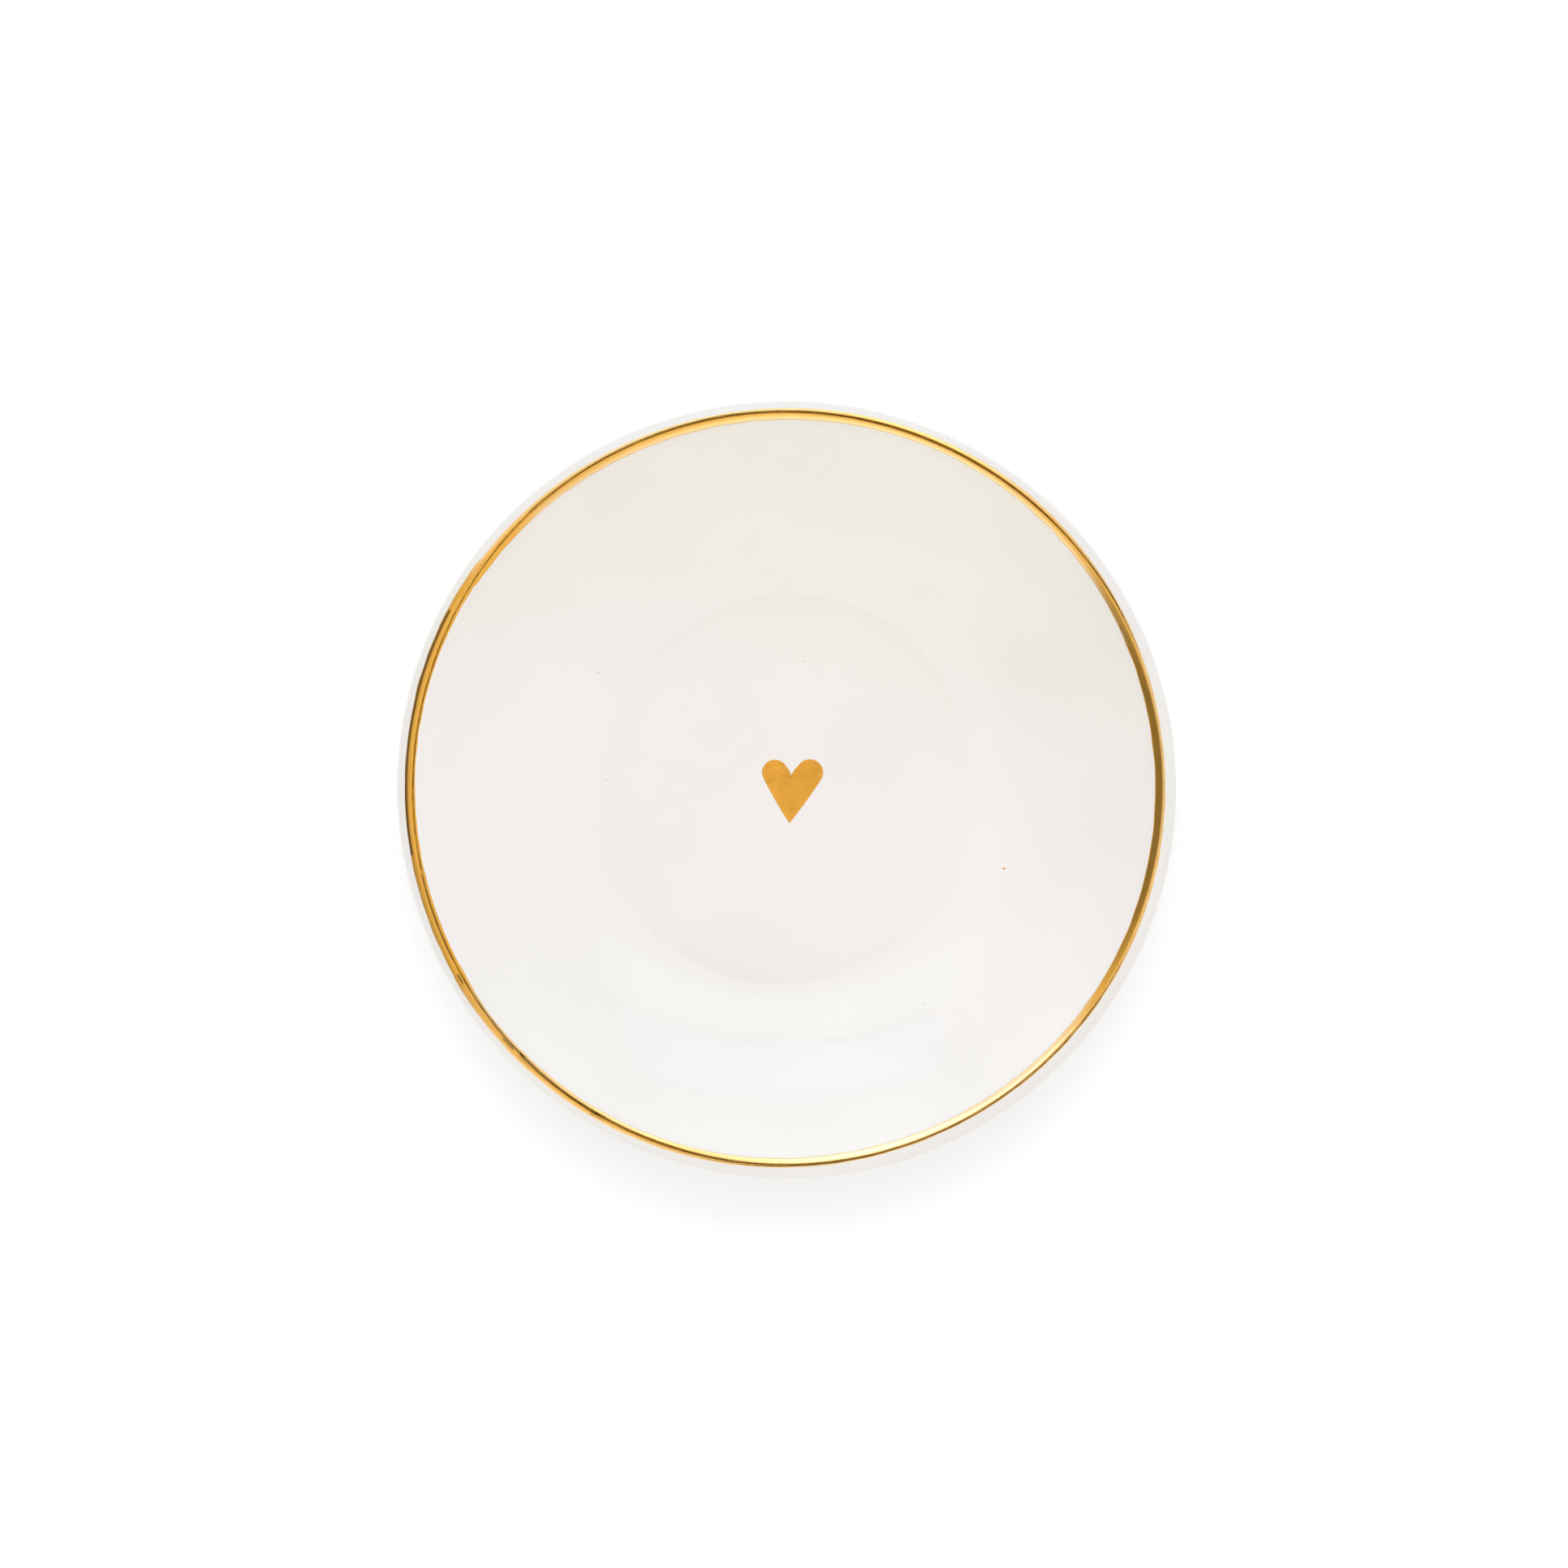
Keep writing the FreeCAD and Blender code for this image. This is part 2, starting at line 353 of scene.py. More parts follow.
def add(tree, kind, **values):
    """A node with its properties and its unlinked inputs set by name."""
    node = tree.nodes.new(kind)
    for key, value in values.items():
        if hasattr(node, key):
            setattr(node, key, value)
        else:
            node.inputs[key.replace("_", " ")].default_value = value
    return node


def ramp(tree, source, stops):
    """A colour ramp on a 0 to 1 value. stops lists positions with colours or greys."""
    node = tree.nodes.new("ShaderNodeValToRGB")
    elements = node.color_ramp.elements
    while len(elements) < len(stops):
        elements.new(0.5)
    for element, (position, colour) in zip(elements, stops):
        element.position = position
        element.color = (*colour, 1) if isinstance(colour, tuple) else (colour, colour, colour, 1)
    tree.links.new(source, node.inputs["Fac"])
    return node.outputs["Color"]


def object_noise(tree, scale, detail=2.0, stretch=(1, 1, 1)):
    """Noise in the object's own space; scale is in features per metre."""
    where = tree.nodes.new("ShaderNodeTexCoord")
    mapping = add(tree, "ShaderNodeMapping", Scale=stretch)
    tree.links.new(where.outputs["Object"], mapping.inputs["Vector"])
    noise = add(tree, "ShaderNodeTexNoise", Scale=scale, Detail=detail)
    tree.links.new(mapping.outputs["Vector"], noise.inputs["Vector"])
    return noise.outputs["Fac"]


def bump(tree, shader, height, distance, strength=1.0):
    node = add(tree, "ShaderNodeBump", Strength=strength, Distance=distance)
    tree.links.new(height, node.inputs["Height"])
    tree.links.new(node.outputs["Normal"], shader.inputs["Normal"])


def mixed(tree, share, first, second, blend="MIX"):
    """The first colour where share is 0, and the second blended over it where share is 1. The share
    and the colours are sockets or plain values."""
    node = add(tree, "ShaderNodeMix", data_type="RGBA", blend_type=blend)
    for name, value in (("Factor", share), ("A", first), ("B", second)):
        if isinstance(value, bpy.types.NodeSocket):
            tree.links.new(value, node.inputs[name])
        else:
            node.inputs[name].default_value = (*value, 1) if isinstance(value, tuple) else value
    return node.outputs["Result"]


def rim_share(tree):
    """How far a point is from the dish's axis, as a share of the rim's radius."""
    where = tree.nodes.new("ShaderNodeTexCoord")
    plan = add(tree, "ShaderNodeVectorMath", operation="MULTIPLY")
    tree.links.new(where.outputs["Object"], plan.inputs[0])
    plan.inputs[1].default_value = (1 / (RIM_RADIUS * MM), 1 / (RIM_RADIUS * MM), 0)
    length = add(tree, "ShaderNodeVectorMath", operation="LENGTH")
    tree.links.new(plan.outputs["Vector"], length.inputs[0])
    return length.outputs["Value"]


def specks(tree, spacing, radius, share_kept):
    """1 on a few small round specks, at most one in each square of this spacing in metres."""
    where = tree.nodes.new("ShaderNodeTexCoord")
    cells = add(tree, "ShaderNodeTexVoronoi", voronoi_dimensions="2D", Scale=1 / spacing)
    tree.links.new(where.outputs["Object"], cells.inputs["Vector"])
    dot = ramp(tree, cells.outputs["Distance"], [(0.5 * radius / spacing, 1.0), (radius / spacing, 0.0)])
    chosen = ramp(tree, cells.outputs["Color"], [(share_kept - 0.01, 1.0), (share_kept, 0.0)])
    return mixed(tree, 1.0, dot, chosen, "MULTIPLY")


# The glaze's tone against the distance from the axis: a little darker where the well turns up into the
# wall, and darkest over the lip, partly where the greyer clay shows through the thin glaze and partly as
# painted shade on the outward-turned lip.
GLAZE_DEPTH_AND_SHADE_TONES = [(0.470, 1.0), (0.506, 0.972), (0.70, 0.987), (0.93, 0.998), (0.975, 0.915)]

# The odd iron speck in the glaze, at most one in each square of this spacing and in this share of them
IRON_SPACING = 16 * MM
IRON_RADIUS = 0.12 * MM
IRON_SHARE = 0.22
IRON_COLOUR = (0.40, 0.35, 0.30)

# Painted shade: the glaze is painted darker and warmer towards the side that lies at this azimuth, and a
# little cooler on the far side. The tints run from the far side to there.
WARM_SHADE_AZIMUTH = 74
SIDE_SHADE_TINTS = [(0.14, (0.968, 0.994, 0.994)), (0.5, (1.0, 1.0, 1.0)), (0.9, (0.948, 0.961, 0.913))]

# Painted shade on the lip: there the side tint is mostly taken back, and the lip is greyest half-way
# round to the warm shaded side.
LIP_SHADE_TINTS = [
    (0.25, (1.0, 1.0, 1.0)),
    (0.36, (0.985, 0.985, 0.980)),
    (0.62, (0.977, 1.005, 0.985)),
    (0.85, (1.005, 1.006, 1.055)),
]


def share_across(tree, azimuth):
    """How far a point is across the dish towards this azimuth, from 0 at one rim to 1 at the other."""
    where = tree.nodes.new("ShaderNodeTexCoord")
    along = add(tree, "ShaderNodeVectorMath", operation="DOT_PRODUCT")
    tree.links.new(where.outputs["Object"], along.inputs[0])
    along.inputs[1].default_value = (cosine(azimuth), sine(azimuth), 0)
    share = add(tree, "ShaderNodeMapRange")
    tree.links.new(along.outputs["Value"], share.inputs["Value"])
    share.inputs["From Min"].default_value = -RIM_RADIUS * MM
    share.inputs["From Max"].default_value = RIM_RADIUS * MM
    return share.outputs["Result"]


def glaze_material():
    """Warm white gloss glaze: faint drifts of tone, painted shade that darkens the lip and one side and
    warms that side, softly uneven gloss, a fine orange peel and the odd iron speck."""
    made, tree, shader = material("white_glaze")
    tone = object_noise(tree, 45, 3.0)
    colour = ramp(tree, tone, [(0.3, (0.753, 0.711, 0.694)), (0.7, (0.775, 0.734, 0.718))])
    # A little darker from the well's edge outwards, with painted shade over the lip
    colour = mixed(tree, 1.0, colour, ramp(tree, rim_share(tree), GLAZE_DEPTH_AND_SHADE_TONES), "MULTIPLY")
    across = share_across(tree, WARM_SHADE_AZIMUTH)
    on_lip = ramp(tree, rim_share(tree), [(0.955, 0.0), (0.98, 1.0)])
    # Painted shade: darker and warmer towards one side, a little cooler on the other
    colour = mixed(tree, 1.0, colour, ramp(tree, across, SIDE_SHADE_TINTS), "MULTIPLY")
    # Painted shade on the lip
    colour = mixed(tree, on_lip, colour, ramp(tree, across, LIP_SHADE_TINTS), "MULTIPLY")
    iron = specks(tree, IRON_SPACING, IRON_RADIUS, IRON_SHARE)
    colour = mixed(tree, iron, colour, IRON_COLOUR)
    tree.links.new(colour, shader.inputs["Base Color"])
    gloss = ramp(tree, object_noise(tree, 260, 3.0), [(0.3, 0.07), (0.75, 0.14)])
    tree.links.new(gloss, shader.inputs["Roughness"])
    bump(tree, shader, object_noise(tree, 700, 1.0), 0.00001, 0.35)
    shader.inputs["IOR"].default_value = 1.54
    return made


def clay_material():
    """Bare fired porcelain: matt, slightly warm, with a fine sanded grain."""
    made, tree, shader = material("bare_porcelain")
    tone = object_noise(tree, 900, 5.0)
    colour = ramp(tree, tone, [(0.3, (0.72, 0.66, 0.58)), (0.7, (0.84, 0.80, 0.74))])
    tree.links.new(colour, shader.inputs["Base Color"])
    bump(tree, shader, object_noise(tree, 3500, 4.0), 0.00006, 0.8)
    shader.inputs["Roughness"].default_value = 0.85
    return made


def read_paint(tree, name, output="Fac"):
    """What paint() stored under this name."""
    return add(tree, "ShaderNodeAttribute", attribute_name=name).outputs[output]


def paint(obj, name, values):
    """Stores a number, or a row of three, at each of the object's points for its material to read."""
    if values.ndim == 2:
        obj.data.attributes.new(name, "FLOAT_VECTOR", "POINT").data.foreach_set("vector", values.ravel())
    else:
        obj.data.attributes.new(name, "FLOAT", "POINT").data.foreach_set("value", values)


LINE_TONES = [(0.28, (0.75, 0.375, 0.042)), (0.72, (0.84, 0.435, 0.062))]
HEART_TONES = [(0.30, (0.668, 0.312, 0.035)), (0.70, (0.905, 0.435, 0.062))]
# Pale golds: partly thin lustre and partly painted highlight where the line faces the bright lights
THIN_AND_HIGHLIT_GOLD = (0.88, 0.60, 0.28)
DRY_AND_HIGHLIT_GOLD = (0.93, 0.72, 0.42)
# Dark brown: partly thick burnt lustre and partly painted reflection of the dark room
BURNT_AND_REFLECTION_GOLD = (0.10, 0.045, 0.008)


def gold_material(name, tones, roughness, coat_roughness, grain):
    """Fired gold lustre: orange gold, a little darker in drifts, pale where the brush left it thin and
    where a highlight is painted, palest where the brush ran out of lustre under the brightest painted
    highlight, and brown where it lay thick and burned and along painted dark reflections. grain is the
    noise that its surface follows."""
    made, tree, shader = material(name)
    drift = mixed(tree, 0.4, object_noise(tree, 320, 4.0), grain(tree))
    colour = ramp(tree, drift, tones)
    # Painted highlight, partly thin lustre: the gold is paled towards cream along its edges and on one side
    thin = read_paint(tree, "thin")
    colour = mixed(tree, ramp(tree, thin, [(0.0, 0.0), (0.6, 1.0)]), colour, THIN_AND_HIGHLIT_GOLD)
    colour = mixed(tree, ramp(tree, thin, [(0.6, 0.0), (1.0, 1.0)]), colour, DRY_AND_HIGHLIT_GOLD)
    # Painted dark reflection, partly burnt lustre: dark brown streaks along the line
    colour = mixed(tree, read_paint(tree, "burnt_and_reflection"), colour, BURNT_AND_REFLECTION_GOLD)
    tree.links.new(colour, shader.inputs["Base Color"])
    low, high = roughness
    gloss = ramp(tree, object_noise(tree, 1500, 3.0), [(0.3, low), (0.7, high)])
    tree.links.new(gloss, shader.inputs["Roughness"])
    bump(tree, shader, grain(tree), 0.00002, 0.5)
    shader.inputs["Metallic"].default_value = 1.0
    shader.inputs["Coat Weight"].default_value = 0.35
    shader.inputs["Coat Roughness"].default_value = coat_roughness
    shader.inputs["Coat IOR"].default_value = 1.65
    return made


def brushed_grain(tree):
    """Fine streaks along the brush's path. The path's length and breadth are in millimetres."""
    noise = add(tree, "ShaderNodeTexNoise", Scale=1.0, Detail=2.0)
    stretched = add(tree, "ShaderNodeMapping", Scale=(0.5, 9.0, 1.0))
    tree.links.new(read_paint(tree, "brush_path", "Vector"), stretched.inputs["Vector"])
    tree.links.new(stretched.outputs["Vector"], noise.inputs["Vector"])
    return noise.outputs["Fac"]


def dabbed_grain(tree):
    """The soft sideways marks of a brush that filled a small shape."""
    return object_noise(tree, 1400, 4.0, (0.4, 1.6, 1.0))


GLAZE = glaze_material()
CLAY = clay_material()
LINE_GOLD = gold_material("gold_line_lustre", LINE_TONES, (0.07, 0.14), 0.05, brushed_grain)
HEART_GOLD = gold_material("gold_heart_lustre", HEART_TONES, (0.40, 0.52), 0.20, dabbed_grain)


def dress(obj, look, slot, *nodes):
    """Gives a piece its material and its body, and hides the CAD nodes that it stands for. Its record slot
    is not used.
    """
    obj.data.materials.append(look)
    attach(obj, "root")
    for node in nodes:
        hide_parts(node)


# ---------------------------------------------------------------- clay and glaze

def foot_side(top, height):
    return np.array([top[0] - (top[1] - height) * LEAN, height])


def recess_side(top, height):
    return np.array([top[0] + (top[1] - height) * LEAN, height])


def rounded_end(outer, inner, count=7):
    """The rolled edge where the glaze ends: a half circle below the outer and the inner point."""
    middle, reach = (outer + inner) / 2, (outer - inner) / 2
    angles = np.linspace(0, math.pi, count)
    down = np.array([0, -np.linalg.norm(reach)])
    normals = np.cos(angles)[:, None] * reach + np.sin(angles)[:, None] * down
    return np.hstack([middle + normals, normals / np.linalg.norm(normals, axis=1)[:, None]])


def backwards(stretch):
    """The same points in the other order, with their normals turned round."""
    turned_round = stretch[::-1].copy()
    turned_round[:, 2:] *= -1
    return turned_round


def upper_section(depth, counts):
    """The section from the well's centre over the lip to the foot ring, this deep in the glaze."""
    bends = (WELL, WELL_BEND, WALL, LIP, OUTER_WALL, FILLET)
    return joined(*(bend.samples(count, depth) for bend, count in zip(bends, counts)))


def build_glaze_coat():
    end = GLAZE_END_HEIGHT + GLAZE_THICKNESS / 2
    clay_top = FILLET.at(FILLET.end, GLAZE_THICKNESS)
    outer, inner = foot_side(FOOT_TOP, end), foot_side(clay_top, end)
    outside = joined(
        upper_section(0, (30, 7, 30, 30, 24, 9)),
        straight(FOOT_TOP, outer, 4),
        rounded_end(outer, inner),
    )
    inside = joined(
        upper_section(GLAZE_THICKNESS, (6, 3, 8, 9, 8, 5)),
        straight(clay_top, inner, 2),
    )
    coat = facing(turned("glaze_coat_fired", joined(outside, backwards(inside))))
    dress(coat, GLAZE, "white_glaze", "glaze_coat")


def build_recess_glaze():
    end = GLAZE_END_HEIGHT + GLAZE_THICKNESS / 2
    side_top, clay_side_top = RECESS.at(RECESS.start), RECESS.at(RECESS.start, GLAZE_THICKNESS)
    outer, inner = recess_side(side_top, end), recess_side(clay_side_top, end)
    ceiling = RECESS.at(RECESS.end)
    clay_ceiling = RECESS.at(RECESS.end, GLAZE_THICKNESS)
    section = joined(
        straight((0, clay_ceiling[1]), clay_ceiling, 6),
        backwards(RECESS.samples(6, GLAZE_THICKNESS)),
        straight(clay_side_top, inner, 2),
        backwards(rounded_end(outer, inner)),
        straight(outer, side_top, 3),
        RECESS.samples(9),
        straight(ceiling, (0, ceiling[1]), 16),
    )
    patch = facing(turned("glaze_recess_fired", section))
    dress(patch, GLAZE, "white_glaze", "glaze_in_recess")


def build_clay_body():
    depth = GLAZE_THICKNESS
    foot_top = FILLET.at(FILLET.end, depth)
    recess_top = RECESS.at(RECESS.start, depth)
    tip_outer = foot_side(foot_top, 0)
    tip_inner = recess_side(recess_top, 0)
    round_outer = Bend((tip_outer[0] - FOOT_TIP_ROUND, FOOT_TIP_ROUND), FOOT_TIP_ROUND, 90, 0, False)
    round_inner = Bend((tip_inner[0] + FOOT_TIP_ROUND, FOOT_TIP_ROUND), FOOT_TIP_ROUND, 0, -90, False)
    ceiling = RECESS.at(RECESS.end, depth)
    section = joined(
        upper_section(depth, (12, 4, 12, 12, 12, 7)),
        straight(foot_top, foot_side(foot_top, FOOT_TIP_ROUND), 5),
        round_outer.samples(6),
        straight(round_outer.at(0), round_inner.at(0), 6),
        round_inner.samples(6),
        straight(recess_side(recess_top, FOOT_TIP_ROUND), recess_top, 4),
        RECESS.samples(6, depth),
        straight(ceiling, (0, ceiling[1]), 8),
    )
    body = facing(turned("clay_body_fired", section))
    dress(body, CLAY, "bare_porcelain", "porcelain_body")


# ---------------------------------------------------------------- gold

# The line's middle and width are those of the finished dish, whatever its lip does below.
LINE_RADIUS = 52.97
LINE_WAVES = [(1, 0.30, 145), (2, 0.10, 30), (4, 0.10, 60)]
LINE_WIDTH = 1.47
WIDTH_WAVES = [(1, 0.15, 120)]
LINE_STEPS_PER_DEGREE = 4
LINE_ACROSS = 21
GOLD_LIFT = 0.030
GOLD_BEAD = 0.012
GOLD_SINK = 0.030

# Across the line, as shares of its half width: how far in from an edge the gold reaches its full height,
# and the place and the spread of the bead along the edge. A crowding below 1 puts more of the mesh's
# points near the edges.
LINE_EDGE_RISE = 0.12
LINE_BEAD_PLACE = 0.82
LINE_BEAD_SPREAD = 0.09
LINE_CROWDING = 0.7

# A stroke tapers over this length at each end, as a rounded brush does. At its very tip it has the square
# root of this share of its width. A degree round the line is roughly this long.
STROKE_TAPER = 1.6
STROKE_BLUNTNESS = 0.03
MM_PER_DEGREE = 0.93

# How far a brush's edges wobble, and how many waves of it there are and how often they go round
OUTER_WOBBLE = 0.012
INNER_WOBBLE = 0.016
HEART_WOBBLE = 0.010
WOBBLE_COUNT = 8
WOBBLE_TURNS = (14, 90)

# The line is banded by hand in these strokes. Each has the azimuths where the brush lands and lifts,
# and how far it runs outside the line's middle there.
STROKES = [
    (22, 148, 0.06, -0.14),
    (142, 214, 0.06, -0.08),
    (208, 229, 0.05, 0.05),
    (223, 243, -0.01, -0.01),
    (237, 388, 0.00, 0.04),
]

# Dark brown streaks along the line: partly where the brush went over its own edge and the lustre lies
# thick and has burnt brown, and partly painted reflection of the dark room along its crest and edges.
# Each streak has the azimuths where it starts and ends, its place outside the line's middle, its half
# width and how dark it is.
BURNT_AND_REFLECTION_STREAKS = [
    (46.0, 133.0, 0.22, 0.09, 0.55),
    (152.0, 190.0, 0.50, 0.17, 1.0),
    (193.0, 207.0, -0.28, 0.12, 0.6),
    (225.1, 240.3, -0.04, 0.07, 1.0),
    (239.3, 240.1, -0.06, 0.18, 1.0),
    (224.7, 225.5, -0.24, 0.15, 1.0),
    (221.2, 223.6, 0.06, 0.09, 1.0),
    (209.4, 211.0, 0.10, 0.11, 1.0),
]

# The line is pale along its edges, partly where the lustre lies thin and partly as painted highlight where
# the edges face the bright lights, except where the brush was full and no highlight is painted. Each of
# these stretches has the azimuths where it starts and ends. The last one goes on round past zero.
FULL_UNHIGHLIT_INNER_EDGES = [(28, 31), (134, 213), (325, 388)]
FULL_UNHIGHLIT_OUTER_EDGES = [(145, 213)]
FULL_EDGE_FADE = 4.0
STREAK_FADE = 0.15

# How pale the gold is at its edges, from 0 to 1, partly thin lustre and partly painted highlight, and
# between which places it pales towards an edge: 1 is that edge and -1 is the one across the line. Where
# the brush ran out of lustre, under the brightest painted highlight, it pales towards the inner one.
INNER_THIN_AND_HIGHLIGHT = 0.6
INNER_PALE_SPAN = (-0.2, 1.0)
OUTER_THIN_AND_HIGHLIGHT = 0.55
OUTER_PALE_SPAN = (0.2, 0.95)
DRY_HIGHLIGHT_PALE_SPAN = (-0.75, 0.15)

# The azimuths between which the line's inner half is palest: partly where the brush ran out of lustre
# and partly as painted highlight where that half faces the bright window
DRY_HIGHLIGHT_START, DRY_HIGHLIGHT_FULL_FROM, DRY_HIGHLIGHT_FULL_TO, DRY_HIGHLIGHT_END = 240, 292, 313, 327


def skin(x, y, top_lift, closed_rows):
    """A thin closed solid on the top side. x, y and top_lift are grids; its underside is sunk into
    the glaze. closed_rows is for a grid whose rows are rings, the innermost first: a face on each
    side fills that one."""
    rows, columns = x.shape
    top = on_top(x.ravel(), y.ravel(), top_lift.ravel())
    under = on_top(x.ravel(), y.ravel(), np.full(x.size, -GOLD_SINK))
    points = np.vstack([top, under])
    faces = []
    wrap = columns if closed_rows else columns - 1
    for row in range(rows - 1):
        for column in range(wrap):
            after = (column + 1) % columns
            a, b = row * columns + column, row * columns + after
            c, d = (row + 1) * columns + after, (row + 1) * columns + column
            faces.append((a, b, c, d))
            faces.append((d + x.size, c + x.size, b + x.size, a + x.size))
    edge = [(rows - 1) * columns + column for column in range(columns)]
    if not closed_rows:
        right = [row * columns + columns - 1 for row in range(rows - 2, -1, -1)]
        back = list(range(columns - 2, -1, -1))
        left = [row * columns for row in range(1, rows - 1)]
        edge = edge + right + back + left
    for here, after in zip(edge, edge[1:] + edge[:1]):
        faces.append((here, after, after + x.size, here + x.size))
    if closed_rows:
        faces.append(tuple(range(columns - 1, -1, -1)))
        faces.append(tuple(x.size + column for column in range(columns)))
    return points, faces


def edge_wobble(azimuth, rng, size):
    """The small unevenness of a brush's edge along the line."""
    waves = rng.uniform(*WOBBLE_TURNS, WOBBLE_COUNT)
    phases = rng.uniform(0, 2 * math.pi, WOBBLE_COUNT)
    heights = rng.uniform(0.3, 1.0, WOBBLE_COUNT) * size
    return sum(h * np.cos(w * azimuth + p) for h, w, p in zip(heights, waves, phases))


def within(degrees, start, end, fade):
    """1 between two azimuths and 0 outside them. At each it changes over fade degrees either way."""
    begun = smooth_step(degrees, start - fade, start + fade)
    ended = smooth_step(degrees, end - fade, end + fade)
    return begun * (1 - ended)


def thin_and_highlit_edge(degrees, full_stretches):
    """1 where this edge of the line is pale, partly thin lustre and partly painted highlight, and 0
    where the brush was full.
    """
    return 1 - sum(within(degrees, start, end, FULL_EDGE_FADE) for start, end in full_stretches)


def thin_and_highlight_share(degrees, across):
    """How pale the gold is, from 0 to 1: partly thin lustre and partly painted highlight. across runs
    from -1 at the inner edge to 1 at the outer one.
    """
    inner = INNER_THIN_AND_HIGHLIGHT * thin_and_highlit_edge(degrees, FULL_UNHIGHLIT_INNER_EDGES) * smooth_step(-across, *INNER_PALE_SPAN)
    outer = OUTER_THIN_AND_HIGHLIGHT * thin_and_highlit_edge(degrees, FULL_UNHIGHLIT_OUTER_EDGES) * smooth_step(across, *OUTER_PALE_SPAN)
    dry_highlight = smooth_step(degrees, DRY_HIGHLIGHT_START, DRY_HIGHLIGHT_FULL_FROM) * (1 - smooth_step(degrees, DRY_HIGHLIGHT_FULL_TO, DRY_HIGHLIGHT_END))
    dry_highlight = dry_highlight * smooth_step(-across, *DRY_HIGHLIGHT_PALE_SPAN)
    return np.clip(np.maximum(np.maximum(inner, outer), dry_highlight), 0, 1)


def burnt_and_reflection_share(degrees, offset):
    """How dark brown the gold is, from 0 to 1, offset millimetres outside the line's middle: partly
    lustre that burned brown and partly painted dark reflection.
    """
    burnt_and_reflection = np.zeros_like(offset)
    for start, end, place, half_width, most in BURNT_AND_REFLECTION_STREAKS:
        along = most * within(degrees, start, end, STREAK_FADE)
        burnt_and_reflection = np.maximum(burnt_and_reflection, along * np.exp(-(((offset - place) / half_width) ** 2)))
    return burnt_and_reflection


def build_stroke(index, start, end, start_shift, end_shift):
    rng = np.random.default_rng(100 + index)
    count = int((end - start) * LINE_STEPS_PER_DEGREE)
    azimuth = np.radians(np.linspace(start, end, count))
    from_start = (np.degrees(azimuth) - start) * MM_PER_DEGREE
    from_end = (end - np.degrees(azimuth)) * MM_PER_DEGREE
    full = np.clip(np.minimum(from_start, from_end) / STROKE_TAPER, 0, 1)
    taper = np.sqrt(full * (1 - STROKE_BLUNTNESS) + STROKE_BLUNTNESS)
    half = (LINE_WIDTH + sum_of_waves(azimuth, WIDTH_WAVES)) / 2 * taper
    outer = half + edge_wobble(azimuth, rng, OUTER_WOBBLE)
    inner = half + edge_wobble(azimuth, rng, INNER_WOBBLE)
    across = np.linspace(-1, 1, LINE_ACROSS)
    across = np.sign(across) * np.abs(across) ** LINE_CROWDING
    shift = np.linspace(start_shift, end_shift, count)
    offset = shift + np.where(across[:, None] > 0, across[:, None] * outer, across[:, None] * inner)
    radius = LINE_RADIUS + sum_of_waves(azimuth, LINE_WAVES) + offset
    x = radius * np.cos(azimuth)
    y = radius * np.sin(azimuth)
    level = GOLD_LIFT * np.clip((1 - np.abs(across)) / LINE_EDGE_RISE, 0, 1) ** 0.5
    bead = GOLD_BEAD * np.exp(-(((np.abs(across) - LINE_BEAD_PLACE) / LINE_BEAD_SPREAD) ** 2))
    lift = (level + bead)[:, None] * np.minimum(taper, 1)[None, :]
    points, faces = skin(x, y, lift, False)
    stroke = facing(new_object(f"gold_rim_stroke_{index}", points, faces))
    degrees = np.degrees(azimuth) * np.ones_like(offset)
    path = np.stack([np.radians(degrees) * LINE_RADIUS, offset, np.full_like(offset, index)], 2)
    paint(stroke, "brush_path", np.tile(path.reshape(-1, 3), (2, 1)))
    # Paleness of the gold: partly thin lustre and partly painted highlight
    paint(stroke, "thin", np.tile(thin_and_highlight_share(degrees, across[:, None]).ravel(), 2))
    # Dark brown streaks: partly burnt lustre and partly painted reflection
    paint(stroke, "burnt_and_reflection", np.tile(burnt_and_reflection_share(degrees, offset).ravel(), 2))
    dress(stroke, LINE_GOLD, "fired_gold", "gold_rim_line")


LEFT_LOBE = (-1.68, 2.43, 1.84)
RIGHT_LOBE = (3.36, 2.39, 1.94)
LOBE_SIDE_ANGLE = 23.0
LOBE_NOTCH_ANGLE = 30.0
HEART_NOTCH = (0.69, 1.93)
HEART_TIP = (0.42, -4.92)
HEART_MIDDLE = (0.70, 0.30)
SIDE_BULGE = 0.12

# The heart's rings of points, from a tiny one in its middle out to its edge, most of them near the edge.
# In from the edge, in millimetres, lie the gold's full height and the bead, which has this spread.
HEART_RINGS = 26
HEART_CROWDING = 1.8
HEART_INNERMOST_RING = 0.002
HEART_EDGE_RISE = 0.10
HEART_BEAD_PLACE = 0.16
HEART_BEAD_SPREAD = 0.10


